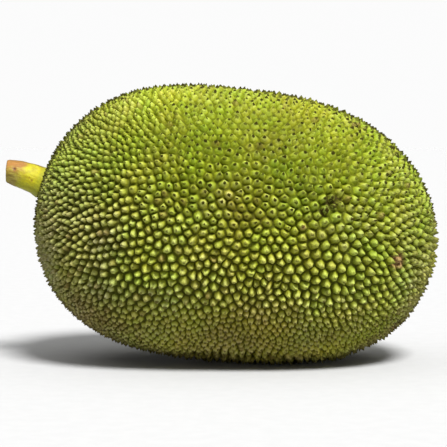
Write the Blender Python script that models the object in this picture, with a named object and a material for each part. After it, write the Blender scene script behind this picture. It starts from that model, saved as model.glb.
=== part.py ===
"""A whole jackfruit lying on its side, with a short stub of its cut stalk.

Metres, +Z up. The long axis runs along X with the stalk at -X, and the
fruit rests on a small flat spot at z = 0. The origin is under the middle
of the object's box.
"""

import math

import bmesh
import bpy
from mathutils import Vector

# Fruit, measured over the tips of its spikes
LONG_AXIS_DIP = math.radians(5.75)  # the blossom end hangs lower than the stalk end
REACH_STALK_END = 0.2136  # from the fruit's middle along the long axis
REACH_BLOSSOM_END = 0.2233
HALF_HEIGHT_UP = 0.1486
HALF_HEIGHT_DOWN = 0.1495
HALF_DEPTH = 0.1465
BLUNT_STALK_END = 2.97  # lengthwise superellipse exponents: 2 is an ellipse
BLUNT_BLOSSOM_END = 2.60
ROUND_ABOVE = 1.82  # crosswise superellipse exponents
ROUND_BELOW = 2.18
UNDERSIDE_SWELL = 0.012  # the belly is this much deeper at the stalk end
SIDE_BOW = 0.005  # the fruit bows gently to the back
FLAT_DEPTH = 0.0060  # how far the resting side is pressed in

# Stalk stub
STALK_ROOT = (-0.2080, 0.0, 0.0468)  # where its axis meets the fruit, from the middle
STALK_RISE = math.radians(19.5)  # its axis points this far above -X
STALK_OUT = 0.0365  # length that shows
STALK_SUNK = 0.0260  # length of the blank that the fruit then cuts away
STALK_R_CUT = 0.0119  # radius at the sawn end
STALK_R_BASE = 0.0152  # radius where it leaves the fruit
STALK_SAG = 0.0018  # bow of its axis
STALK_EDGE = 0.0016  # rounding of the sawn edge
STALK_SIDES = 28
GAP = 0.0003  # clearance between stalk and fruit

SPHERE_LEVELS = 5  # subdivisions of the icosphere that the fruit is shaped from


def signed_power(value, exponent):
    return math.copysign(abs(value) ** exponent, value)


def fruit_point(direction):
    """The fruit's surface where a unit direction (x along the fruit) leads."""
    along = max(-1.0, min(1.0, direction.x))
    across = math.sqrt(max(0.0, 1.0 - along * along))
    ring = math.hypot(direction.y, direction.z) or 1.0
    up, side = direction.z / ring, direction.y / ring
    if along < 0:
        reach, blunt = REACH_STALK_END, BLUNT_STALK_END
    else:
        reach, blunt = REACH_BLOSSOM_END, BLUNT_BLOSSOM_END
    station = signed_power(along, 2.0 / blunt)
    roundness = 0.5 * (ROUND_ABOVE + ROUND_BELOW) + 0.5 * (ROUND_ABOVE - ROUND_BELOW) * up
    girth = across ** (2.0 / roundness)
    half_height = 0.5 * (HALF_HEIGHT_UP + HALF_HEIGHT_DOWN) + 0.5 * (
        HALF_HEIGHT_UP - HALF_HEIGHT_DOWN
    ) * up
    lift = girth * up * half_height * (1.0 - UNDERSIDE_SWELL * up * station)
    depth = girth * side * HALF_DEPTH + SIDE_BOW * (station * station - 0.3)
    length = reach * station
    dip_cos, dip_sin = math.cos(LONG_AXIS_DIP), math.sin(LONG_AXIS_DIP)
    return Vector(
        (length * dip_cos + lift * dip_sin, depth, -length * dip_sin + lift * dip_cos)
    )


def material(name, colour, roughness):
    made = bpy.data.materials.new(name)
    made.use_nodes = True
    shader = made.node_tree.nodes["Principled BSDF"]
    shader.inputs["Base Color"].default_value = (*colour, 1.0)
    shader.inputs["Roughness"].default_value = roughness
    shader.inputs["Metallic"].default_value = 0.0
    made.diffuse_color = (*colour, 1.0)
    return made


def finished(name, mesh_tools, surface):
    mesh = bpy.data.meshes.new(name)
    mesh_tools.to_mesh(mesh)
    mesh_tools.free()
    mesh.shade_smooth()
    mesh.set_sharp_from_angle(angle=math.radians(9))
    obj = bpy.data.objects.new(name, mesh)
    bpy.context.scene.collection.objects.link(obj)
    if surface:
        mesh.materials.append(surface)
    return obj


def fruit_body():
    """The ovoid, closed, with its middle at the origin."""
    tools = bmesh.new()
    bmesh.ops.create_icosphere(tools, subdivisions=SPHERE_LEVELS, radius=1.0)
    for vert in tools.verts:
        vert.co = fruit_point(vert.co.normalized())
    tools.normal_update()
    return tools


def press_flat(tools, level):
    """Cuts off what lies under the level and closes the cut with one flat face."""
    cut = bmesh.ops.bisect_plane(
        tools,
        geom=tools.verts[:] + tools.edges[:] + tools.faces[:],
        dist=1e-6,
        plane_co=(0, 0, level),
        plane_no=(0, 0, -1),
        clear_outer=True,
    )
    rim = [edge for edge in cut["geom_cut"] if isinstance(edge, bmesh.types.BMEdge)]
    bmesh.ops.contextual_create(tools, geom=rim)
    bmesh.ops.recalc_face_normals(tools, faces=tools.faces[:])


def swollen(tools, amount):
    """A copy of the body with every point moved out along its normal."""
    copy = tools.copy()
    copy.normal_update()
    moved = [vert.co + vert.normal * amount for vert in copy.verts]
    for vert, place in zip(copy.verts, moved):
        vert.co = place
    return copy


def stalk_section(distance):
    """(centre, along, radius) of the stalk at a distance outwards from its root."""
    outward = Vector((-math.cos(STALK_RISE), 0.0, math.sin(STALK_RISE)))
    upward = Vector((math.sin(STALK_RISE), 0.0, math.cos(STALK_RISE)))
    share = distance / STALK_OUT
    bow = STALK_SAG * share * share
    centre = Vector(STALK_ROOT) + outward * distance - upward * bow
    along = (outward - upward * (2.0 * STALK_SAG * share / STALK_OUT)).normalized()
    flare = 0.0022 * math.exp(-max(distance, 0.0) / 0.007)
    radius = STALK_R_BASE + (STALK_R_CUT - STALK_R_BASE) * max(share, 0.0) + flare
    return centre, along, radius


def stalk_blank():
    """A bowed, tapering round bar from inside the fruit out to the sawn end."""
    stations = []
    steps = 9
    for i in range(steps + 1):
        distance = -STALK_SUNK + (STALK_SUNK + STALK_OUT - STALK_EDGE) * i / steps
        stations.append((distance, 0.0))
    for i in range(1, 4):  # the rounded rim of the sawn end
        turn = math.radians(30.0 * i)
        stations.append(
            (
                STALK_OUT - STALK_EDGE * (1.0 - math.sin(turn)),
                STALK_EDGE * (1.0 - math.cos(turn)),
            )
        )
    tools = bmesh.new()
    rings = []
    side = Vector((0.0, 1.0, 0.0))
    for distance, inset in stations:
        centre, along, radius = stalk_section(distance)
        up = along.cross(side).normalized()
        ring = []
        for k in range(STALK_SIDES):
            turn = 2.0 * math.pi * k / STALK_SIDES
            out = side * math.cos(turn) + up * math.sin(turn)
            ring.append(tools.verts.new(centre + out * (radius - inset)))
        rings.append(ring)
    for first, second in zip(rings, rings[1:]):
        for k in range(STALK_SIDES):
            after = (k + 1) % STALK_SIDES
            tools.faces.new((first[k], first[after], second[after], second[k]))
    tools.faces.new(rings[0])
    tools.faces.new(rings[-1])
    bmesh.ops.recalc_face_normals(tools, faces=tools.faces[:])
    return tools


def box_of(*bodies):
    places = [vert.co for tools in bodies for vert in tools.verts]
    low = Vector(min(place[i] for place in places) for i in range(3))
    high = Vector(max(place[i] for place in places) for i in range(3))
    return low, high


for old in list(bpy.data.objects):
    bpy.data.objects.remove(old, do_unlink=True)

rind = material("rind", (0.36, 0.40, 0.07), 0.6)
stalk_bark = material("stalk_bark", (0.50, 0.30, 0.08), 0.75)

body = fruit_body()
floor = min(vert.co.z for vert in body.verts) + FLAT_DEPTH
clearance = swollen(body, GAP)
blank = stalk_blank()
press_flat(body, floor)
low, high = box_of(body, blank)
to_origin = Vector((-(low.x + high.x) / 2, -(low.y + high.y) / 2, -floor))

fruit = finished("jackfruit_fruit", body, rind)
stalk = finished("cut_stalk", blank, stalk_bark)
cutter = finished("fruit_clearance", clearance, None)
cutter.hide_render = True
cutter.display_type = "WIRE"
for obj in (fruit, stalk, cutter):
    obj.location = to_origin

fit = stalk.modifiers.new("follow_fruit", "BOOLEAN")
fit.operation = "DIFFERENCE"
fit.solver = "EXACT"
fit.object = cutter
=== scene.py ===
"""The look of a whole jackfruit: a rind of blunt spikes, and the stub of its cut stalk."""

import math

import bmesh
import bpy
import numpy as np
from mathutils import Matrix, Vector


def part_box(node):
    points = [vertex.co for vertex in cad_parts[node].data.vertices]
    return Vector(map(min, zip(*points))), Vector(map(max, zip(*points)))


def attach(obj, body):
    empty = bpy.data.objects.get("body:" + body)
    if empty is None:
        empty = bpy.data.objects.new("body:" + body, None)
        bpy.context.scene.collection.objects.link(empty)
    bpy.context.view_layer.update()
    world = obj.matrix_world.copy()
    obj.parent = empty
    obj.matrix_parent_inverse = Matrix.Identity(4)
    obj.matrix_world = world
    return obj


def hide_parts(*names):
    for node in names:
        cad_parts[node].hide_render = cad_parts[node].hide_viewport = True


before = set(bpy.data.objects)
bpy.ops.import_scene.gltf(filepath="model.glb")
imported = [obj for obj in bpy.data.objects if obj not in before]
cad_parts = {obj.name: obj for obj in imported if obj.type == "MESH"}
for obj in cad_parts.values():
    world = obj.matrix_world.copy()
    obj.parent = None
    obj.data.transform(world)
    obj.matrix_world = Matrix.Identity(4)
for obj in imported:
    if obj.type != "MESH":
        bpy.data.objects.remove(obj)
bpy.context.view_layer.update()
FRUIT_LO, FRUIT_HI = (Vector(corner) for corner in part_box("jackfruit_fruit"))
RNG = np.random.default_rng(7)
MOST_TRIANGLES = 195000

# The fruit's form, as in the frame: metres, over the spikes' tips, from its middle
DIP = math.radians(5.75)
REACH = (0.2136, 0.2233)
HALF_UP, HALF_DOWN, HALF_DEPTH = 0.1486, 0.1495, 0.1465
BLUNT = (2.97, 2.60)
ROUND_ABOVE, ROUND_BELOW = 1.82, 2.18
SWELL, BOW = 0.012, 0.005
FLAT_DEPTH = 0.0060
STALK_ROOT = np.array([-0.2080, 0.0, 0.0468])
# The stalk: its reach out of the fruit, its rise as it leaves and what it loses of that per metre
STALK_OUT, STALK_SUNK = 0.0362, 0.014
STALK_SLOPE, STALK_BEND = 0.45, 3.7
STALK_RADII = ((0.0, 0.0159), (0.010, 0.0153), (0.022, 0.0144), (0.030, 0.0134), (0.0362, 0.0122))


def unit(v):
    return v / np.maximum(np.linalg.norm(v, axis=-1, keepdims=True), 1e-12)


def form(turn, up, side):
    """The envelope at `turn` from -90 degrees, the stalk end, to 90, on the meridian (up, side)."""
    eased = np.sin(turn)
    along = np.sign(eased) * np.abs(eased) ** 1.5
    across = np.sqrt(np.maximum(1.0 - np.abs(eased) ** 3.0, 0.0))
    blunt = np.where(along < 0, BLUNT[0], BLUNT[1])
    reach = np.where(along < 0, REACH[0], REACH[1])
    station = np.sign(along) * np.abs(along) ** (2.0 / blunt)
    roundness = 0.5 * (ROUND_ABOVE + ROUND_BELOW) + 0.5 * (ROUND_ABOVE - ROUND_BELOW) * up
    girth = np.abs(across) ** (2.0 / roundness)
    half = 0.5 * (HALF_UP + HALF_DOWN) + 0.5 * (HALF_UP - HALF_DOWN) * up
    lift = girth * up * half * (1.0 - SWELL * up * station)
    depth = girth * side * HALF_DEPTH + BOW * (station * station - 0.3)
    length = reach * station
    c, s = math.cos(DIP), math.sin(DIP)
    return np.stack([length * c + lift * s, depth, -length * s + lift * c], -1)


# The even map: a sphere on which circles stay circles on the fruit, from the mean profile
_turn = np.linspace(-0.5 * math.pi + 1e-4, 0.5 * math.pi - 1e-4, 4001)
_prof = 0.5 * (
    form(_turn, np.ones_like(_turn), np.zeros_like(_turn))
    + form(_turn, -np.ones_like(_turn), np.zeros_like(_turn))
)
_top = form(_turn, np.ones_like(_turn), np.zeros_like(_turn))
_low = form(_turn, -np.ones_like(_turn), np.zeros_like(_turn))
_rad = 0.5 * np.linalg.norm(_top - _low, axis=1)
_rad = 0.5 * (_rad + np.sqrt(1.0 - np.abs(np.sin(_turn)) ** 3.0) * HALF_DEPTH)
_len = np.linalg.norm(np.diff(_prof, axis=0), axis=1)
_drad = np.diff(_rad)
_step = np.sqrt(_len**2 + _drad**2) / (0.5 * (_rad[1:] + _rad[:-1]))
_merc = np.concatenate([[0.0], np.cumsum(_step)])
_merc -= np.interp(0.0, _turn, _merc)


def surface(q):
    """The envelope where a point of the even sphere leads, before the floor presses it."""
    q = unit(q)
    ring = np.hypot(q[..., 1], q[..., 2])
    merc = np.arctanh(np.clip(q[..., 0], -0.9999999, 0.9999999))
    turn = np.interp(merc, _merc, _turn)
    safe = np.maximum(ring, 1e-12)
    return form(turn, q[..., 2] / safe, q[..., 1] / safe)


def pressed(p, floor):
    """Points rounded off softly against the floor, as the resting side is."""
    above = p[..., 2] - floor
    soft = 0.0016
    out = p.copy()
    out[..., 2] = floor + soft * np.logaddexp(0.0, above / soft)
    return out


def tangents(q):
    helper = np.where(np.abs(q[..., :1]) < 0.9, [[1.0, 0, 0]], [[0, 1.0, 0]])
    a = unit(np.cross(helper, q))
    return a, np.cross(q, a)


def normals(q, floor, eps=2e-3):
    a, b = tangents(q)
    da = pressed(surface(q + a * eps), floor) - pressed(surface(q - a * eps), floor)
    db = pressed(surface(q + b * eps), floor) - pressed(surface(q - b * eps), floor)
    return unit(np.cross(da, db))


_probe = unit(RNG.normal(size=(60000, 3)))
_places = surface(_probe)
# the lowest point of the form, found finely near the flat
_fine = unit(np.array([0.3, 0.0, -1.0]) + 0.35 * RNG.normal(size=(60000, 3)))
FLOOR = float(surface(_fine)[:, 2].min()) + FLAT_DEPTH
TO_ORIGIN = np.array(
    [
        FRUIT_HI.x - _places[:, 0].max(),
        0.5 * (FRUIT_LO.y + FRUIT_HI.y) - 0.5 * (_places[:, 1].max() + _places[:, 1].min()),
        -FLOOR,
    ]
)


def smooth(x, lo, hi):
    t = np.clip((x - lo) / (hi - lo), 0.0, 1.0)
    return t * t * (3.0 - 2.0 * t)


def spacing(p):
    """How far apart the spikes stand, in metres."""
    base = 0.0080 + 0.0024 * smooth(p[..., 0], -0.215, -0.03)
    base = base - 0.0006 * smooth(p[..., 0], 0.10, 0.22)
    base = base * (1.0 - (0.05 + 0.06 * smooth(-p[..., 0], 0.02, 0.10)) * smooth(p[..., 2], 0.02, 0.10))
    # smaller again where the sides turn under, but not right below
    below = np.hypot((p[..., 0] - 0.045) / 0.19, p[..., 1] / 0.115)
    base = base * (1.0 - 0.27 * smooth(-p[..., 2], 0.055, 0.115) * smooth(below, 0.50, 0.85))
    near = np.linalg.norm(p - STALK_ROOT, axis=-1)
    return base * (0.72 + 0.28 * smooth(near, 0.014, 0.060))


def stretch(q, eps=2e-3):
    a, b = tangents(q)
    da = surface(q + a * eps) - surface(q - a * eps)
    db = surface(q + b * eps) - surface(q - b * eps)
    return np.linalg.norm(np.cross(da, db), axis=-1) / (4 * eps * eps)


def hull(points):
    """The Delaunay triangles of points on a sphere."""
    tools = bmesh.new()
    for p in points:
        tools.verts.new(p)
    tools.verts.index_update()
    bmesh.ops.convex_hull(tools, input=tools.verts[:], use_existing_faces=False)
    tools.verts.index_update()
    tris = np.array([[v.index for v in f.verts] for f in tools.faces], np.int64)
    tools.free()
    a, b, c = (points[tris[:, i]] for i in range(3))
    flip = np.einsum("ij,ij->i", np.cross(b - a, c - a), a) < 0
    tris[flip] = tris[flip][:, ::-1]
    return tris


def scatter():
    """Seeds of the spikes, spread to the spacing and evened out a few times."""
    probe = unit(RNG.normal(size=(40000, 3)))
    density = stretch(probe) / (0.866 * spacing(surface(probe)) ** 2)
    count = int(round(density.mean() * 4 * math.pi))
    most = np.percentile(density, 99.8) * 1.1
    kept = []
    have = 0
    while have < count:
        q = unit(RNG.normal(size=(20000, 3)))
        d = stretch(q) / (0.866 * spacing(surface(q)) ** 2)
        q = q[RNG.random(len(q)) < d / most]
        kept.append(q)
        have += len(q)
    seeds = np.concatenate(kept)[:count]
    uneven = 1.0 + 0.10 * RNG.normal(size=len(seeds)).clip(-2, 2)
    for turn in range(34):  # springs between neighbours push the crowded ones apart
        tris = hull(seeds)
        ends = np.concatenate([tris[:, [0, 1]], tris[:, [1, 2]], tris[:, [2, 0]]])
        ends = ends[ends[:, 0] < ends[:, 1]]
        if turn % 5 == 0:
            want = uneven * spacing(surface(seeds)) / np.sqrt(stretch(seeds))
        gap = seeds[ends[:, 0]] - seeds[ends[:, 1]]
        length = np.linalg.norm(gap, axis=1)
        rest = 0.5 * (want[ends[:, 0]] + want[ends[:, 1]])
        rest = rest * 1.18 * math.sqrt((length**2).sum() / (rest**2).sum())
        push = gap * (0.19 * np.maximum(rest - length, 0.0) / length)[:, None]
        moved = np.zeros((len(seeds), 3))
        np.add.at(moved, ends[:, 0], push)
        np.add.at(moved, ends[:, 1], -push)
        seeds = unit(seeds + moved)
    ta, tb = tangents(seeds)
    shake = 0.07 * want[:, None] * RNG.normal(size=(len(seeds), 2)).clip(-2, 2)
    seeds = unit(seeds + ta * shake[:, :1] + tb * shake[:, 1:])
    for _ in range(4):  # the hull leaves out a point that lies in line with its neighbours
        used = np.bincount(hull(seeds).reshape(-1), minlength=len(seeds)) > 2
        if used.all():
            break
        seeds = seeds[used]
    return seeds


def cells_of(seeds):
    tris = hull(seeds)
    a, b, c = (seeds[tris[:, i]] for i in range(3))
    middle = unit(a + b + c)
    step = unit(np.cross(b - a, c - a)) - middle
    width = np.linalg.norm(b - a, axis=1) + np.linalg.norm(c - b, axis=1)
    far = np.linalg.norm(step, axis=1)
    step *= np.minimum(0.6, 0.06 * width / np.maximum(far, 1e-9))[:, None]
    corners = unit(middle + step)
    cell = tris.reshape(-1)
    tri = np.repeat(np.arange(len(tris)), 3)
    ta, tb = tangents(seeds)
    off = middle[tri] - seeds[cell]
    angle = np.arctan2(
        np.einsum("ij,ij->i", off, tb[cell]), np.einsum("ij,ij->i", off, ta[cell])
    )
    order = np.lexsort((angle, cell))
    cell, tri = cell[order], tri[order]
    start = np.searchsorted(cell, np.arange(len(seeds)))
    count = np.bincount(cell, minlength=len(seeds))
    nxt = np.arange(len(cell)) + 1
    nxt[start + count - 1] = start
    return corners, cell, tri, nxt, count


def mesh_from(name, verts, faces, attributes, uv):
    me = bpy.data.meshes.new(name)
    me.vertices.add(len(verts))
    me.vertices.foreach_set("co", np.ascontiguousarray(verts, np.float32).ravel())
    me.loops.add(faces.size)
    me.loops.foreach_set("vertex_index", np.ascontiguousarray(faces, np.int32).ravel())
    me.polygons.add(len(faces))
    me.polygons.foreach_set("loop_start", np.arange(0, faces.size, 3, dtype=np.int32))
    me.polygons.foreach_set("loop_total", np.full(len(faces), 3, np.int32))
    me.update(calc_edges=True)
    me.validate()
    for key, values in attributes.items():
        layer = me.attributes.new(key, "FLOAT", "POINT")
        layer.data.foreach_set("value", np.ascontiguousarray(values, np.float32))
    assert len(me.loops) == uv.size // 2
    layer = me.uv_layers.new(name="OFBake")
    layer.data.foreach_set("uv", np.ascontiguousarray(uv, np.float32).ravel())
    me.shade_smooth()
    obj = bpy.data.objects.new(name, me)
    bpy.context.scene.collection.objects.link(obj)
    return obj


def flat_map(base, faces, cell, seeds):
    """A place on the image per face corner: six flat views of the smooth form, with whole spikes in each."""
    lean = normals(seeds, -1.0)
    part = np.argmax(np.abs(lean) * np.array([0.92, 1.0, 1.0]), 1)
    view = (2 * part + (lean[np.arange(len(lean)), part] < 0))[cell]
    corners = base[faces]
    out = np.zeros((*faces.shape, 2))
    top = 0.0
    for axis in (1, 2, 0):
        across, up = ((0, 2), (0, 1), (1, 2))[(1, 2, 0).index(axis)]
        row, left = [], 0.0
        for chart in (2 * axis, 2 * axis + 1):
            at = corners[view == chart][..., [across, up]]
            if chart in (1, 2, 5):  # seen from outside
                at = at * np.array([-1.0, 1.0])
            low, high = at.reshape(-1, 2).min(0), at.reshape(-1, 2).max(0)
            out[view == chart] = at - low + np.array([left, top])
            left += high[0] - low[0] + 0.010
            row.append(high[1] - low[1])
        top += max(row) + 0.010
    return 0.006 + 0.988 * out / out.reshape(-1, 2).max(0)


# Per ring of a spike: share of the way out to the furrow, share of the height, roundness
RINGS = ((0.77, 0.09, 0.06), (0.46, 0.57, 0.12), (0.20, 0.90, 0.25))


# Marks on the rind: where, from the fruit's middle, how wide, how strong, and what kind
MARKS = (
    (0.173, -0.098, -0.034, 0.0084, 0.75, "scar"),
    (0.107, -0.130, 0.035, 0.0070, 0.90, "dark"),
    (0.114, -0.127, 0.038, 0.0075, 0.80, "brown"),
    (0.100, -0.133, 0.029, 0.0078, 1.00, "dark"),
    (0.092, -0.137, 0.021, 0.0064, 0.85, "dark"),
    (0.012, -0.147, 0.017, 0.0079, 0.45, "brown"),
    (0.029, -0.147, 0.010, 0.0089, 0.40, "brown"),
    (-0.000, -0.146, 0.024, 0.0049, 0.50, "brown"),
    (-0.143, -0.121, 0.020, 0.0101, 0.35, "brown"),
    (0.071, -0.143, 0.005, 0.0030, 1.00, "scar"),
    (0.078, -0.141, 0.013, 0.0040, 0.55, "brown"),
    (0.178, -0.038, -0.104, 0.0080, 0.80, "dark"),
    (0.172, -0.036, -0.110, 0.0060, 0.50, "scar"),
    (-0.163, -0.069, -0.079, 0.0135, 0.60, "brown"),
    (-0.140, -0.071, -0.097, 0.0146, 0.65, "brown"),
    (-0.114, -0.076, -0.107, 0.0104, 0.55, "brown"),
    (0.058, -0.068, 0.125, 0.0072, 0.45, "brown"),
    (0.053, -0.059, 0.131, 0.0042, 0.35, "scar"),
    (0.004, -0.087, 0.121, 0.0041, 0.40, "brown"),
    (-0.025, -0.142, 0.043, 0.0050, 0.45, "brown"),
    (-0.082, -0.143, 0.003, 0.0060, 0.35, "brown"),
    (-0.053, -0.128, -0.068, 0.0090, 0.30, "brown"),
    (0.121, -0.079, 0.097, 0.0062, 0.30, "brown"),
    (0.018, -0.094, -0.118, 0.0144, 0.35, "brown"),
    (0.100, -0.090, -0.114, 0.0103, 0.35, "brown"),
    (-0.114, -0.112, 0.082, 0.0040, 0.35, "brown"),
    (-0.170, -0.098, -0.020, 0.0061, 0.35, "brown"),
    (0.058, 0.119, 0.077, 0.0110, 0.50, "brown"),
    (-0.092, 0.138, 0.029, 0.0080, 0.50, "brown"),
    (0.120, 0.127, -0.041, 0.0090, 0.60, "scar"),
    (-0.020, 0.133, -0.057, 0.0130, 0.40, "brown"),
    (-0.146, 0.121, 0.000, 0.0100, 0.45, "brown"),
    (0.158, 0.112, 0.010, 0.0070, 0.70, "dark"),
)


def drift(p, size, seed):
    """A smooth random field over the fruit, about -1 to 1, with features of this size."""
    rng = np.random.default_rng(seed)
    total = np.zeros(p.shape[:-1])
    for _ in range(14):
        k = unit(rng.normal(size=3)) * (0.7 + 0.6 * rng.random()) * 2 * math.pi / size
        total += np.sin(p @ k + rng.random() * 6.3)
    return total / 3.6


def tints(p, q, seed_p, owner):
    """How red and grey the rind is, how light it is by region (partly its own paler tone, partly painted light and
    painted shade), how far its dark tips reach down, and its marks.
    """
    x, z = p[:, 0], p[:, 2]
    red = 0.905 + 0.06 * np.exp(-(((x - 0.005) / 0.05) ** 2)) * smooth(-z, -0.07, -0.01)
    red = red - 0.035 * smooth(x, 0.03, 0.09)
    red = red - 0.045 * smooth(z, 0.03, 0.09) * (1.0 - smooth(x, 0.03, 0.06) * smooth(z, 0.10, 0.13))
    red = red + 0.10 * smooth(-x, 0.10, 0.165) * smooth(-z, -0.045, -0.01)
    red = red + 0.11 * smooth(-z, 0.055, 0.10) + 0.05 * smooth(-z, 0.095, 0.13)
    red = red + 0.08 * smooth(x, 0.155, 0.20) * smooth(-z, -0.02, 0.04)
    red = red + 0.06 * smooth(z, 0.09, 0.125) * smooth(x, 0.02, 0.06)
    red = red + 0.05 * np.exp(-(((x + 0.012) / 0.035) ** 2)) * smooth(-z, -0.02, 0.01) * smooth(z, -0.09, -0.06)
    grey = (0.905 / red) ** 2  # as the red drifts, so does the grey
    red = red + 0.035 * drift(p, 0.10, 41) + 0.025 * drift(p, 0.035, 42)
    dull = 0.087 + 0.065 * smooth(-z, -0.10, 0.0) + 0.07 * smooth(-z, 0.02, 0.10)
    dull = dull + 0.10 * smooth(-x, 0.09, 0.17) * (0.4 + 0.6 * smooth(-z, -0.06, 0.0))
    dull = dull + 0.07 * smooth(x, 0.14, 0.20) * smooth(-z, -0.02, 0.06)
    dull = dull - 0.035 * smooth(x, 0.02, 0.06) * smooth(-z, -0.02, 0.03)
    grey = grey * dull * (1.0 + 0.16 * drift(p, 0.06, 43))
    # the brightness field: partly the rind's own paler and darker patches, partly painted light and painted shade, set
    # region by region
    pale_and_painted_light = 1.0 - 0.06 * smooth(z, 0.065, 0.125) - 0.12 * smooth(-x, 0.14, 0.19) * smooth(-z, -0.07, -0.03)
    pale_and_painted_light = pale_and_painted_light + 0.06 * smooth(z, 0.09, 0.13) * smooth(-x, -0.06, 0.0)
    pale_and_painted_light = pale_and_painted_light + 0.09 * smooth(z, 0.035, 0.08) * smooth(x, -0.05, 0.02)
    pale_and_painted_light = pale_and_painted_light - 0.13 * smooth(-x, 0.10, 0.17) * smooth(z, -0.03, 0.03)
    pale_and_painted_light = pale_and_painted_light + 0.12 * smooth(x, 0.0, 0.05) * smooth(-x, -0.18, -0.13) * smooth(z, -0.06, -0.01) * smooth(-z, -0.09, -0.04)
    pale_and_painted_light = pale_and_painted_light + 0.13 * smooth(-z, 0.02, 0.05) + 0.19 * smooth(-z, 0.050, 0.085) - 0.15 * smooth(-z, 0.088, 0.115)
    pale_and_painted_light = pale_and_painted_light - 0.20 * smooth(x, 0.13, 0.19) * smooth(-z, -0.06, -0.01)
    shoulder = smooth(x, -0.15, -0.12) * smooth(-x, -0.085, -0.05)
    pale_and_painted_light = pale_and_painted_light - 0.09 * shoulder * smooth(z, 0.06, 0.085) * (1.0 - smooth(z, 0.10, 0.135))
    pale_and_painted_light = pale_and_painted_light + 0.15 * smooth(x, 0.13, 0.17) * np.exp(-(((z - 0.02) / 0.022) ** 2))
    pale_and_painted_light = pale_and_painted_light + 0.11 * smooth(-z, 0.065, 0.09) * smooth(x, 0.03, 0.08)
    pale_and_painted_light = pale_and_painted_light - 0.12 * smooth(-z, 0.07, 0.09) * smooth(-x, 0.06, 0.09)
    pale_and_painted_light = pale_and_painted_light + 0.12 * np.exp(-(((z + 0.029) / 0.015) ** 2)) * smooth(x, -0.11, -0.085) * smooth(-x, -0.06, -0.02)
    behind = smooth(x, -0.13, -0.10) * smooth(-x, 0.015, 0.050)
    pale_and_painted_light = pale_and_painted_light + 0.11 * behind * (1.0 - 0.8 * np.exp(-(((z + 0.012) / 0.02) ** 2)))
    reach = 0.05 * smooth(z, 0.0, 0.05) + 0.10 * smooth(-z, 0.04, 0.10)
    reach = reach + 0.045 * smooth(z, 0.04, 0.09) * smooth(x, -0.05, 0.02)
    reach = reach + 0.06 * (1.0 - smooth(np.abs(q[:, 1]), 0.05, 0.35)) * smooth(z, 0.06, 0.10)
    reach = reach + 0.09 * (1.0 - smooth(np.abs(q[:, 1]), 0.12, 0.45)) * smooth(-z, -0.14, -0.09)
    inner = smooth(-x, 0.04, 0.11) * smooth(np.abs(q[:, 1]), 0.12, 0.38) * smooth(z, -0.03, 0.03)
    reach = np.minimum(reach, 0.16) - 0.12 * inner + 0.04 * drift(p, 0.05, 45)
    reach = reach + 0.05 * (1.0 - smooth(np.abs(q[:, 1]), 0.05, 0.28))
    where = np.where(owner[:, None] >= 0, seed_p[owner], p)
    marks = {kind: np.zeros(len(p)) for kind in ("brown", "scar", "dark")}
    for px, py, pz, size, force, kind in MARKS:
        gap = np.linalg.norm((where if kind == "brown" else p) - np.array([px, py, pz]), axis=1)
        gap = gap * (1.0 + 0.25 * drift(p, 0.014, 44))
        strength = force * (1.0 - smooth(gap, 0.55 * size, 1.15 * size))
        marks[kind] = np.maximum(marks[kind], strength)
    return {"red": red, "grey": grey, "pale_and_painted_light": pale_and_painted_light, "reach": reach, **marks}


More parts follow.
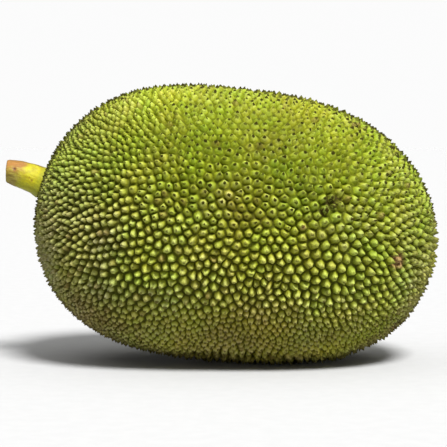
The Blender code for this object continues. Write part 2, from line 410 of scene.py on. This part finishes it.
def build_fruit():
    seeds = scatter()
    corners, cell, tri, nxt, count = cells_of(seeds)
    n, m, t = len(seeds), len(cell), len(corners)
    seed_p = surface(seeds)
    near = np.linalg.norm(seed_p - STALK_ROOT, axis=1)
    tall = 1.0 + 0.09 * RNG.normal(size=n).clip(-2, 1.6)
    tall *= 0.75 + 0.25 * smooth(near, 0.016, 0.045)
    # each tip sits a little off the middle of its cell
    ta, tb = tangents(seeds)
    off = corners[tri] - seeds[cell]
    size = np.zeros(n)
    np.add.at(size, cell, np.linalg.norm(off, axis=1))
    size /= count
    lean = 0.15 * size[:, None] * (
        ta * RNG.normal(size=(n, 1)).clip(-2, 2) + tb * RNG.normal(size=(n, 1)).clip(-2, 2)
    )
    # and droops a little
    droop = np.array([[0.0, 0.0, -1.0]]) - seeds * -seeds[:, 2:]
    lean += 0.06 * size[:, None] * droop
    # scales by the stalk lie towards it
    towards = unit(np.array([-1.0, 0.0, 0.12])) - seeds
    towards -= seeds * np.einsum("ij,ij->i", towards, seeds)[:, None]
    lean += unit(towards) * (0.45 * size * (1.0 - smooth(near, 0.02, 0.06)))[:, None]

    def depth_at(q):
        p = surface(q)
        return spacing(p) * (
            0.86
            - (0.08 + 0.15 * smooth(p[..., 0], -0.10, 0.0)) * smooth(p[..., 2], 0.04, 0.12)
            - 0.08 * smooth(-p[..., 2], 0.05, 0.11)
            - 0.14 * smooth(p[..., 0], 0.12, 0.19)
        )

    place, rr, rnd, owner, smooth_form, ball = [], [], [], [], [], []
    cr, cr2 = RNG.random(n), RNG.random(n)

    def put(q, sink):
        smooth_form.append(surface(q))
        ball.append(q)
        base = pressed(surface(q), FLOOR)
        return base - normals(q, FLOOR) * sink[:, None]

    # here and there neighbours have grown into each other
    fused = 1.06 - 0.30 * (RNG.random(t) < 0.10)
    place.append(put(corners, depth_at(corners) * fused))
    rr.append(np.full(t, 1.0))
    rnd.append(np.full((t, 2), 0.5))
    owner.append(np.full(t, -1))
    length = np.linalg.norm(off, axis=1)
    for share, height, roundness in RINGS:
        reach = length * (1 - roundness) + size[cell] * roundness
        reach = reach * (1.0 + 0.16 * RNG.normal(size=m).clip(-2, 2) * (share < 0.7))
        height = height + 0.07 * RNG.normal(size=m).clip(-2, 2) * (share < 0.7)
        q = unit(
            seeds[cell]
            + lean[cell] * (1 - share)
            + off / length[:, None] * (reach * share)[:, None]
        )
        place.append(put(q, depth_at(q) * (1.0 - height * tall[cell])))
        rr.append(np.full(m, share))
        rnd.append(np.stack([cr[cell], cr2[cell]], 1))
        owner.append(cell)
    q = unit(seeds + lean)
    place.append(put(q, depth_at(q) * (1.0 - 1.08 * tall)))
    rr.append(np.zeros(n))
    rnd.append(np.stack([cr, cr2], 1))
    owner.append(np.arange(n))
    rnd = np.concatenate(rnd)
    verts = np.concatenate(place)
    verts[:, 2] = np.maximum(verts[:, 2], FLOOR)
    ring = [tri] + [t + i * m + np.arange(m) for i in range(len(RINGS))]
    # on the back, the ring round a tip keeps every other point, to hold the triangles down
    start = np.searchsorted(cell, np.arange(n))
    turn = np.arange(m) - start[cell]
    # and behind those the ring below it too
    order = np.argsort(np.argsort(seed_p[:, 1] + 0.35 * (seed_p[:, 2] < -0.135)))
    coarse = (order >= int(0.54 * n)) & (count > 4)
    whole = int((MOST_TRIANGLES - 36.6 * n + 6.0 * coarse.sum()) / 6.0)
    plain = (order >= whole) & (count > 4)
    ring[-1] = ring[-1] - (turn % 2) * plain[cell]
    ring[-2] = ring[-2] - (turn % 2) * (coarse & plain)[cell]
    tip = t + len(RINGS) * m + cell
    faces = []
    for outer, inner in zip(ring, ring[1:]):
        faces.append(np.stack([outer, outer[nxt], inner[nxt]], 1))
        faces.append(np.stack([outer, inner[nxt], inner], 1))
    faces.append(np.stack([ring[-1], ring[-1][nxt], tip], 1))
    faces = np.concatenate(faces)
    kept = (faces[:, 0] != faces[:, 1]) & (faces[:, 1] != faces[:, 2]) & (faces[:, 0] != faces[:, 2])
    faces, spike = faces[kept], np.tile(cell, 2 * len(RINGS) + 1)[kept]
    smooth_form, ball = np.concatenate(smooth_form), np.concatenate(ball)
    uv = flat_map(smooth_form, faces, spike, seeds)
    used, faces = np.unique(faces, return_inverse=True)
    faces = faces.reshape(-1, 3)
    verts, rnd, smooth_form, ball = verts[used], rnd[used], smooth_form[used], ball[used]
    rr, owner = np.concatenate(rr)[used], np.concatenate(owner)[used]
    obj = mesh_from(
        "jackfruit_rind",
        verts + TO_ORIGIN,
        faces,
        {"rr": rr, "cella": rnd[:, 0], "cellb": rnd[:, 1], **tints(smooth_form, ball, seed_p, owner)},
        uv,
    )
    print("spikes", n, "triangles", len(faces), flush=True)
    return obj


fruit = build_fruit()


def wave(x, y, seed):
    """A smooth random height from a few waves, for coordinates in radians."""
    rng = np.random.default_rng(seed)
    total = np.zeros(np.broadcast(x, y).shape)
    for _ in range(7):
        a, b, shift = rng.integers(1, 6), rng.normal() * 1.6, rng.random() * 6.3
        total += np.sin(a * x + b * y + shift) / 7.0
    return total * 1.8


def build_stalk():
    """The stub of the stalk: a fibrous, slightly swollen stem with a nearly upright cut."""
    around, out_rings, face_rings = 96, 46, 14
    root = STALK_ROOT + np.array([0.0014, STALK_ROOT[1], -0.0003])
    theta = np.arange(around) * 2 * math.pi / around
    run = np.concatenate([np.linspace(-STALK_SUNK, STALK_OUT - 0.0016, out_rings)])
    cut_normal = unit(np.array([-1.0, 0.0, 0.06]))
    spots = ((0.0270, 0.36, 0.0017, 0.0006), (0.0072, -0.10, 0.0011, 0.0004), (0.0105, 0.02, 0.0009, 0.0003),
             (0.0185, 2.60, 0.0014, 0.0005), (0.0120, 3.90, 0.0012, 0.0004))

    def axis(d):
        beyond = np.maximum(d, 0.0)
        x = root[0] - d
        z = root[2] + STALK_SLOPE * d - STALK_BEND * beyond**2
        return np.stack([x, np.zeros_like(d) + root[1], z], -1)

    def ring(d, scale, sink, jag):
        centre = axis(np.array([d]))[0]
        rise = STALK_SLOPE - 2 * STALK_BEND * max(d, 0.0)
        along = unit(np.array([-1.0, 0.0, rise]))
        upright = float(smooth(np.array(d), 0.012, STALK_OUT))
        face = unit(along * (1 - upright) + cut_normal * upright)
        up = unit(np.cross(face, np.array([0.0, 1.0, 0.0])))
        up = up if up[2] > 0 else -up
        radius = np.interp(d, [a for a, _ in STALK_RADII], [b for _, b in STALK_RADII])
        radius = radius + 0.0016 * max(0.0, 1.0 - abs(d + 0.002) / 0.008) ** 2
        height, side = np.sin(theta), -np.cos(theta)
        grain = 0.00016 * np.sin(23 * theta + 1.7 * wave(theta, 40 * d, 3)) * (0.4 + 0.6 * wave(2 * theta, 90 * d, 5))
        lumps = 0.00045 * wave(theta, 110.0 * d, 9) + 0.00012 * wave(3 * theta, 500.0 * d, 11)
        dent = np.zeros(around)
        mark = np.zeros(around)
        for at, angle, size, deep in spots:
            gap = np.hypot(d - at, radius * (np.angle(np.exp(1j * (theta - angle)))))
            dent -= deep * np.exp(-((gap / size) ** 2))
            dent += 0.45 * deep * np.exp(-(((gap - 1.7 * size) / (0.6 * size)) ** 2))
            mark = np.maximum(mark, np.exp(-((gap / (1.15 * size)) ** 2)))
        r = (radius + (grain + lumps + dent) * min(1.0, scale * 1.0)) * scale
        p = centre + r[:, None] * (height[:, None] * up + side[:, None] * np.array([0.0, 1.0, 0.0]))
        p = p + face * (jag - sink)[:, None]
        return p, mark

    points, length, cut, mark = [], [], [], []

    def add(d, scale, sink, jag, on_cut):
        p, m = ring(d, scale, sink, jag)
        points.append(p)
        length.append(np.full(around, d))
        cut.append(np.full(around, on_cut))
        mark.append(m)

    none = np.zeros(around)
    for d in run:
        add(d, 1.0, none, none, 0.0)
    rough = 0.00035 * wave(2 * theta, 0.0, 21) + 0.00022 * wave(5 * theta, 1.0, 22)
    add(STALK_OUT - 0.0007, 0.985, none, 0.4 * rough, 0.0)
    add(STALK_OUT - 0.0001, 0.955, none, 0.8 * rough, 0.35)
    for k in range(1, face_rings + 1):
        share = 0.93 * (1 - k / (face_rings + 0.6))
        ripple = 0.00030 * wave(2 * theta, 9.0 * share, 31) + 0.00016 * wave(6 * theta, 30.0 * share, 33)
        dish = 0.0007 * (1 - share**2) + 0.0011 * math.exp(-((share / 0.13) ** 2))
        rim = 0.00035 * math.exp(-(((share - 0.80) / 0.05) ** 2))
        add(STALK_OUT, share, none + dish + rim, rough * share + ripple * min(1.0, 3 * share), 1.0)
    verts = np.concatenate(points)
    rings = len(points)
    tail = axis(np.array([-STALK_SUNK - 0.001]))
    tip = axis(np.array([STALK_OUT])) - cut_normal * 0.0018
    verts = np.concatenate([verts, tail, tip])
    i = np.arange(around)
    j = (i + 1) % around
    faces = []
    for k in range(rings - 1):
        a, b = k * around, (k + 1) * around
        faces.append(np.stack([a + i, a + j, b + j], 1))
        faces.append(np.stack([a + i, b + j, b + i], 1))
    faces.append(np.stack([j, i, np.full(around, rings * around)], 1))
    last = (rings - 1) * around
    faces.append(np.stack([last + i, last + j, np.full(around, rings * around + 1)], 1))
    # the image holds the side unrolled above, and the cut face and the sunk end as discs below
    sides = out_rings + 2
    turned = np.stack([np.sin(theta), np.cos(theta)], 1)
    rolled, disc = np.zeros((rings * around + 2, 2)), np.zeros((rings * around + 2, 2))
    rolled[:-2, 0] = np.tile(i / around, rings)
    rolled[:-2, 1] = np.repeat(np.minimum(np.arange(rings) / (sides - 1), 1.0), around)
    shrink = np.concatenate([np.full(sides, 1.0), 0.97 * (1 - np.arange(1, face_rings + 1) / (face_rings + 0.6))])
    disc[:-2] = (shrink[:, None, None] * turned).reshape(-1, 2)
    uv = []
    for k, group in enumerate(faces):
        if k < 2 * (sides - 1):
            at = rolled[group]
            at[..., 0] += (group % around == 0) & (i[:, None] == around - 1)
            uv.append(at * np.array([0.98, 0.56]) + np.array([0.01, 0.43]))
        else:
            sunk = k == len(faces) - 2
            at = disc[group] if sunk else disc[group][..., ::-1]
            uv.append(at * 0.195 + np.array([0.72 if sunk else 0.24, 0.21]))
    faces, uv = np.concatenate(faces), np.concatenate(uv)
    a, b, c = (verts[faces[:, i]] for i in range(3))
    if np.einsum("ij,ij->", a, np.cross(b, c)) < 0:
        faces, uv = faces[:, ::-1], uv[:, ::-1]
    ends = lambda rows, first, second: np.concatenate([*rows, [first, second]])
    run_of = ends(length, -STALK_SUNK, STALK_OUT)
    high = np.concatenate([np.tile(np.sin(theta), rings), [0.0, 0.0]])
    wide = np.concatenate([np.tile(np.cos(theta), rings), [0.0, 0.0]])
    from_axis = np.linalg.norm(verts - axis(run_of), axis=1) / 0.0125
    return mesh_from(
        "jackfruit_stalk",
        verts + TO_ORIGIN,
        faces,
        {
            "run": run_of / STALK_OUT,
            "high": high,
            "wide": wide,
            "cut": ends(cut, 0.0, 1.0),
            "mark": ends(mark, 0.0, 0.0),
            "core": from_axis,
        },
        uv,
    )


stalk = build_stalk()


# ---------------------------------------------------------------- materials
def nodes_for(name):
    m = bpy.data.materials.new(name)
    m.use_nodes = True
    nt = m.node_tree
    nt.nodes.clear()
    out = nt.nodes.new("ShaderNodeOutputMaterial")
    bsdf = nt.nodes.new("ShaderNodeBsdfPrincipled")
    nt.links.new(bsdf.outputs[0], out.inputs[0])
    return m, nt, bsdf


class Maker:
    def __init__(self, nt):
        self.nt = nt

    def link(self, a, b):
        self.nt.links.new(a, b)

    def attr(self, name):
        n = self.nt.nodes.new("ShaderNodeAttribute")
        n.attribute_name = name
        return n.outputs["Fac"]

    def noise(self, scale, detail=3.0, rough=0.55, distort=0.0, vector=None):
        n = self.nt.nodes.new("ShaderNodeTexNoise")
        n.inputs["Scale"].default_value = scale
        n.inputs["Detail"].default_value = detail
        n.inputs["Roughness"].default_value = rough
        n.inputs["Distortion"].default_value = distort
        self.link(vector or self.coords(), n.inputs["Vector"])
        return n.outputs["Fac"]

    def coords(self):
        if not hasattr(self, "_coords"):
            n = self.nt.nodes.new("ShaderNodeTexCoord")
            self._coords = n.outputs["Object"]
        return self._coords

    def direction(self):
        return self.nt.nodes.new("ShaderNodeTexCoord").outputs["Generated"]

    def math(self, op, a, b=None, c=None, clamp=False):
        n = self.nt.nodes.new("ShaderNodeMath")
        n.operation = op
        n.use_clamp = clamp
        for i, v in enumerate((a, b, c)):
            if v is None:
                continue
            if isinstance(v, (int, float)):
                n.inputs[i].default_value = v
            else:
                self.link(v, n.inputs[i])
        return n.outputs[0]

    def span(self, v, lo, hi, out_lo=0.0, out_hi=1.0, kind="SMOOTHSTEP"):
        n = self.nt.nodes.new("ShaderNodeMapRange")
        n.interpolation_type = kind
        self.link(v, n.inputs["Value"])
        n.inputs["From Min"].default_value = lo
        n.inputs["From Max"].default_value = hi
        n.inputs["To Min"].default_value = out_lo
        n.inputs["To Max"].default_value = out_hi
        return n.outputs[0]

    def mix(self, fac, a, b, kind="MIX"):
        n = self.nt.nodes.new("ShaderNodeMix")
        n.data_type = "RGBA"
        n.blend_type = kind
        n.clamp_factor = True
        if isinstance(fac, (int, float)):
            n.inputs[0].default_value = fac
        else:
            self.link(fac, n.inputs[0])
        for socket, v in ((n.inputs[6], a), (n.inputs[7], b)):
            if isinstance(v, tuple):
                socket.default_value = (*v, 1.0)
            else:
                self.link(v, socket)
        return n.outputs[2]

    def bump(self, height, distance, strength=1.0, normal=None):
        n = self.nt.nodes.new("ShaderNodeBump")
        n.inputs["Strength"].default_value = strength
        n.inputs["Distance"].default_value = distance
        self.link(height, n.inputs["Height"])
        if normal:
            self.link(normal, n.inputs["Normal"])
        return n.outputs[0]


def rind_material():
    m, nt, bsdf = nodes_for("jackfruit_rind_skin")
    k = Maker(nt)
    wob = k.noise(420.0, 2.0)
    rr = k.math("ADD", k.attr("rr"), k.span(wob, 0.3, 0.7, -0.06, 0.06, "LINEAR"))
    cr, cr2 = k.attr("cella"), k.attr("cellb")
    mid = k.noise(45.0, 3.0)
    small = k.noise(170.0, 3.0)
    geo = nt.nodes.new("ShaderNodeSeparateXYZ")
    k.link(k.coords(), geo.inputs[0])
    high = k.span(geo.outputs["Z"], 0.03, 0.26)

    def add(*values):
        total = values[0]
        for value in values[1:]:
            total = k.math("ADD", total, value)
        return total

    def times(a, b):
        return k.math("MULTIPLY", a, b)

    # green first, by how far down the spike, darker down the flanks as partly the rind's own tone and partly painted
    # shade; red and blue follow as shares of it
    green = k.span(rr, 0.32, 0.68, 0.362, 0.228)
    green = times(green, k.span(cr, 0.0, 1.0, 0.86, 1.14, "LINEAR"))
    green = times(green, k.span(mid, 0.3, 0.7, 0.92, 1.08, "LINEAR"))
    green = times(green, k.span(small, 0.3, 0.7, 0.88, 1.12, "LINEAR"))
    green = times(green, k.span(wob, 0.3, 0.7, 0.88, 1.12, "LINEAR"))
    # painted light: a little lighter towards the top of the fruit
    green = times(green, k.span(high, 0.0, 1.0, 0.92, 1.08, "LINEAR"))
    # the brightness field comes in here: partly the rind's own tone, partly painted light and painted shade by region
    green = times(green, k.attr("pale_and_painted_light"))
    # painted shade in the furrows: darker between the spikes, reaching wider towards the stalk and below, weaker at the
    # very top and towards the far end
    spread = add(rr, k.span(geo.outputs["X"], -0.15, -0.03, 0.12, 0.0), k.span(high, 0.05, 0.25, 0.06, 0.0))
    deep = times(k.span(spread, 0.64, 0.92), k.span(high, 0.55, 1.0, 1.0, 0.78))
    deep = times(deep, k.span(geo.outputs["X"], 0.06, 0.20, 1.0, 0.92))
    green = times(green, k.math("SUBTRACT", 1.0, times(deep, k.span(high, 0.1, 0.5, 0.79, 0.73))))
    red = add(
        k.attr("red"),
        k.span(cr2, 0.0, 1.0, -0.055, 0.055, "LINEAR"),
        k.span(mid, 0.3, 0.7, 0.035, -0.035, "LINEAR"),
        k.span(small, 0.3, 0.7, -0.03, 0.03, "LINEAR"),
    )
    grey = times(k.attr("grey"), k.span(cr, 0.0, 1.0, 0.84, 1.16, "LINEAR"))
    # painted sheen: the blue share rises towards the spike tips to whiten them, and falls in the furrows so their
    # painted shade is a deeper green
    grey = times(grey, k.span(rr, 0.35, 0.85, 1.25, 0.15))
    grey = times(grey, k.math("MULTIPLY", times(red, red), 1.2))
    mixed = nt.nodes.new("ShaderNodeCombineColor")
    k.link(times(green, red), mixed.inputs[0])
    k.link(green, mixed.inputs[1])
    k.link(times(green, grey), mixed.inputs[2])
    colour = mixed.outputs[0]
    # a few spikes have gone brown all over, others only on one side
    stale = k.math("MULTIPLY", k.span(cr2, 0.965, 0.985), k.span(small, 0.35, 0.6, 0.25, 0.75))
    brown = k.math("MAXIMUM", stale, times(k.attr("brown"), k.span(small, 0.34, 0.62, 0.35, 1.0)))
    # brown spikes darken into their furrows: painted shade
    colour = k.mix(brown, colour, k.mix(k.span(rr, 0.25, 0.8), (0.185, 0.130, 0.030), (0.065, 0.045, 0.005)))
    colour = k.mix(
        times(k.span(k.attr("dark"), 0.0, 0.8), k.span(wob, 0.36, 0.56, 0.30, 1.0)), colour, (0.036, 0.028, 0.003)
    )
    cork = k.mix(k.span(small, 0.4, 0.6), (0.36, 0.18, 0.100), (0.20, 0.085, 0.045))
    colour = k.mix(times(k.attr("scar"), k.span(small, 0.30, 0.55, 0.45, 1.0)), colour, cork)
    capped = k.math("SUBTRACT", rr, k.attr("reach"))
    cap = times(k.span(capped, 0.17, 0.33, 1.0, 0.0), k.span(cr, 0.0, 0.7, 0.70, 1.0))
    cap = times(cap, k.span(high, 0.05, 0.75, 0.88, 1.0))
    faint = times(k.span(high, 0.08, 0.28), k.span(high, 0.42, 0.62, 1.0, 0.0))
    cap = times(cap, k.span(faint, 0.0, 1.0, 1.0, 0.65))
    colour = k.mix(cap, colour, k.mix(k.span(high, 0.4, 0.8), (0.044, 0.031, 0.001), (0.028, 0.025, 0.0)))
    k.link(colour, bsdf.inputs["Base Color"])
    lumps = k.bump(k.noise(330.0, 2.0), 0.0018, 0.90)
    k.link(k.bump(k.noise(1100.0, 3.0), 0.0004, 0.6, lumps), bsdf.inputs["Normal"])
    rough = k.math("ADD", k.span(mid, 0.3, 0.7, 0.42, 0.58), k.span(rr, 0.4, 0.9, 0.0, 0.3))
    rough = k.math("MAXIMUM", rough, k.span(capped, 0.17, 0.36, 0.92, 0.0))
    k.link(rough, bsdf.inputs["Roughness"])
    bsdf.inputs["Specular IOR Level"].default_value = 0.14
    return m


def stalk_material():
    m, nt, bsdf = nodes_for("jackfruit_stalk_bark")
    k = Maker(nt)
    run, high, wide, cut, mark, core = (
        k.attr(name) for name in ("run", "high", "wide", "cut", "mark", "core")
    )
    along = nt.nodes.new("ShaderNodeCombineXYZ")
    k.link(wide, along.inputs[0])
    k.link(high, along.inputs[1])
    k.link(k.math("MULTIPLY", run, 0.55), along.inputs[2])
    blotch = k.noise(75.0, 3.0)
    streak = k.noise(7.0, 4.0, 0.6, 0.0, along.outputs[0])
    fibre = k.noise(26.0, 3.0, 0.6, 0.0, along.outputs[0])
    speck = k.noise(420.0, 3.0)
    green = k.mix(k.span(streak, 0.35, 0.65), (0.37, 0.36, 0.014), (0.28, 0.28, 0.010))
    yellow = k.mix(k.span(blotch, 0.4, 0.62), (0.42, 0.385, 0.006), (0.33, 0.275, 0.004))
    tan = k.mix(k.span(streak, 0.35, 0.65), (0.33, 0.150, 0.034), (0.25, 0.115, 0.022))
    olive = k.mix(k.span(streak, 0.38, 0.62), (0.33, 0.27, 0.050), (0.19, 0.135, 0.018))
    bumpy = k.math("ADD", run, k.span(blotch, 0.3, 0.7, -0.16, 0.16, "LINEAR"))
    lifted = k.math("ADD", high, k.span(streak, 0.3, 0.7, -0.35, 0.35, "LINEAR"))
    body = k.mix(k.span(lifted, -0.75, 0.05), green, yellow)
    end = k.mix(k.span(lifted, 0.02, 0.58), olive, tan)
    near_end = k.math("ADD", bumpy, k.span(lifted, -0.6, 0.8, 0.0, 0.06, "LINEAR"))
    colour = k.mix(k.span(near_end, 0.42, 0.74), body, end)
    colour = k.mix(k.span(fibre, 0.50, 0.72, 0.0, 0.55), colour, (0.15, 0.115, 0.018))
    rim = k.math("MAXIMUM", k.span(high, 0.90, 0.99), k.span(high, -0.99, -0.88, 1.0, 0.0))
    colour = k.mix(k.math("MULTIPLY", rim, k.span(fibre, 0.35, 0.6, 0.45, 0.85)), colour, (0.115, 0.068, 0.020))
    colour = k.mix(k.span(speck, 0.62, 0.74, 0.0, 0.5), colour, (0.12, 0.075, 0.02))
    colour = k.mix(k.span(run, 0.02, 0.14, 0.55, 0.0), colour, (0.20, 0.22, 0.012))
    spotted = k.span(run, 0.45, 0.60, 0.45, 1.0)
    colour = k.mix(k.math("MULTIPLY", k.span(mark, 0.10, 0.5, 0.0, 0.75), spotted), colour, (0.19, 0.070, 0.014))
    colour = k.mix(k.math("MULTIPLY", k.span(mark, 0.5, 0.85, 0.0, 0.9), spotted), colour, (0.060, 0.022, 0.004))
    wood = k.mix(k.span(k.noise(160.0, 4.0), 0.35, 0.65), (0.42, 0.31, 0.13), (0.26, 0.16, 0.055))
    wood = k.mix(k.span(core, 0.10, 0.20, 0.75, 0.0), wood, (0.16, 0.085, 0.030))
    ring = k.math("MULTIPLY", k.span(core, 0.70, 0.76), k.span(core, 0.80, 0.86, 1.0, 0.0))
    wood = k.mix(k.math("MULTIPLY", ring, 0.75), wood, (0.13, 0.075, 0.022))
    wood = k.mix(k.span(core, 0.86, 0.93), wood, (0.34, 0.30, 0.075))
    wood = k.mix(k.span(speck, 0.56, 0.72, 0.0, 0.6), wood, (0.11, 0.06, 0.020))
    colour = k.mix(k.span(cut, 0.3, 0.8), colour, wood)
    edge = k.math("MULTIPLY", k.span(cut, 0.0, 0.35), k.span(cut, 0.4, 0.9, 1.0, 0.0))
    colour = k.mix(k.math("MULTIPLY", edge, 0.75), colour, (0.085, 0.050, 0.022))
    k.link(colour, bsdf.inputs["Base Color"])
    grain = k.bump(fibre, 0.0007, 0.5)
    k.link(k.bump(speck, 0.0004, 0.5, grain), bsdf.inputs["Normal"])
    k.link(k.math("ADD", k.span(streak, 0.3, 0.7, 0.40, 0.56), k.math("MULTIPLY", cut, 0.25)), bsdf.inputs["Roughness"])
    bsdf.inputs["Specular IOR Level"].default_value = 0.2
    return m


stalk.data.materials.append(stalk_material())
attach(stalk, "root")
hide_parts("cut_stalk")

fruit.data.materials.append(rind_material())
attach(fruit, "root")
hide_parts("jackfruit_fruit")

# ---------------------------------------------------------------- studio
bpy.ops.mesh.primitive_circle_add(vertices=128, radius=40.0, fill_type="NGON", location=(0, 0, 0))
floor_obj = bpy.context.object
floor_obj.name = "studio_floor"
fm, fnt, fb = nodes_for("floor_paper")
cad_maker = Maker(fnt)
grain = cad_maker.noise(60.0, 4.0)
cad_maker.link(
    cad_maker.mix(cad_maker.span(grain, 0.3, 0.7), (0.426, 0.426, 0.426), (0.440, 0.440, 0.440)),
    fb.inputs["Base Color"],
)
fb.inputs["Roughness"].default_value = 0.9
fb.inputs["Specular IOR Level"].default_value = 0.1
floor_obj.data.materials.append(fm)

scene = bpy.context.scene
scene.view_settings.view_transform = "Standard"
scene.view_settings.look = "None"
world = bpy.data.worlds.new("studio_air")
scene.world = world
world.use_nodes = True
air = Maker(world.node_tree)
sky = world.node_tree.nodes.new("ShaderNodeSeparateXYZ")
air.link(air.direction(), sky.inputs[0])
# pale behind, dark at the sides, and a broad soft light overhead
sides = air.mix(air.span(sky.outputs["Z"], 0.09, 0.24), (0.970, 0.970, 0.970), (0.13, 0.13, 0.13))
air.link(
    air.mix(air.span(sky.outputs["Z"], 0.50, 0.90), sides, (1.10, 1.10, 1.10)),
    world.node_tree.nodes["Background"].inputs["Color"],
)
world.node_tree.nodes["Background"].inputs["Strength"].default_value = 1.0


MIDDLE = Vector((0.0, 0.0, 0.15))


def from_side(azimuth, elevation, distance):
    """A place around the fruit: azimuth 0 is towards the camera, 90 to its right."""
    a, e = math.radians(azimuth), math.radians(elevation)
    return MIDDLE + distance * Vector(
        (math.sin(a) * math.cos(e), -math.cos(a) * math.cos(e), math.sin(e))
    )


key = bpy.data.lights.new("key_light", "SUN")
key.energy = 6.3
key.angle = math.radians(18)
key_obj = bpy.data.objects.new("key_light", key)
scene.collection.objects.link(key_obj)
key_obj.location = from_side(24, 55, 3.0)
key_obj.rotation_euler = (MIDDLE - key_obj.location).to_track_quat("-Z", "Y").to_euler()

camera = bpy.data.cameras.new("camera")
camera_obj = bpy.data.objects.new("camera", camera)
scene.collection.objects.link(camera_obj)
scene.camera = camera_obj
DISTANCE = 1.75
ELEVATION = math.radians(3.0)
# the photograph's frame holds 0.483 m across at the fruit's middle
aim = Vector((TO_ORIGIN[0] - 0.0092, 0.0, 0.1485))
camera_obj.location = aim + Vector(
    (0, -DISTANCE * math.cos(ELEVATION), DISTANCE * math.sin(ELEVATION))
)
camera_obj.rotation_euler = (aim - camera_obj.location).to_track_quat("-Z", "Y").to_euler()
camera.sensor_width = 36.0
camera.lens = 36.0 * DISTANCE / 0.4828
camera.clip_end = 120.0
